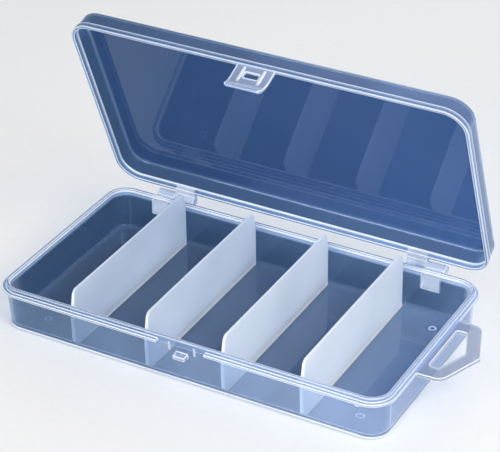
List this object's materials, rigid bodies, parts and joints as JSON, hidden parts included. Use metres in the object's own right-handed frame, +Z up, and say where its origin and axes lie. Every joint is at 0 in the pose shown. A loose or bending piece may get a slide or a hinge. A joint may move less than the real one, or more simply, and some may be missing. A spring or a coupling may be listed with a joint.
{
  "type": "tackle box",
  "caption": "Shallow clear plastic case with a hinged lid, long compartments, a snap latch at the front and a hanging tab at one end, for small fishing tackle.",
  "frame": {"origin": "middle of the tray, on the plane that its four feet stand on", "axes": "+X along the box towards the hanging tab, +Y from the latch towards the hinges, +Z up"},
  "size_m": [0.1967, 0.1097, 0.1148],
  "materials": {
    "tray_plastic": "clear moulded polypropylene, glossy",
    "lid_plastic": "clear moulded polypropylene, glossy",
    "divider_plastic": "milky translucent polypropylene, satin",
    "pin_plastic": "milky translucent plastic"
  },
  "bodies": {
    "tray": {"tray": "tray_plastic", "divider_1": "divider_plastic", "divider_2": "divider_plastic", "divider_3": "divider_plastic", "divider_4": "divider_plastic", "hinge_pin_left": "pin_plastic", "hinge_pin_right": "pin_plastic"},
    "lid": {"lid": "lid_plastic"},
    "latch": {"latch": "lid_plastic"}
  },
  "joints": [
    {"name": "lid_hinge", "type": "hinge", "parent": "tray", "child": "lid", "pos_m": [0, 0.0523, 0.0182], "axis": [-1, 0, 0], "range_deg": [-69, 111]},
    {"name": "latch_flex", "type": "hinge", "parent": "lid", "child": "latch", "pos_m": [0, 0.01675, 0.11247], "axis": [-1, 0, 0], "range_deg": [0, 25], "stiffness_Nm_per_rad": 0.05}
  ]
}
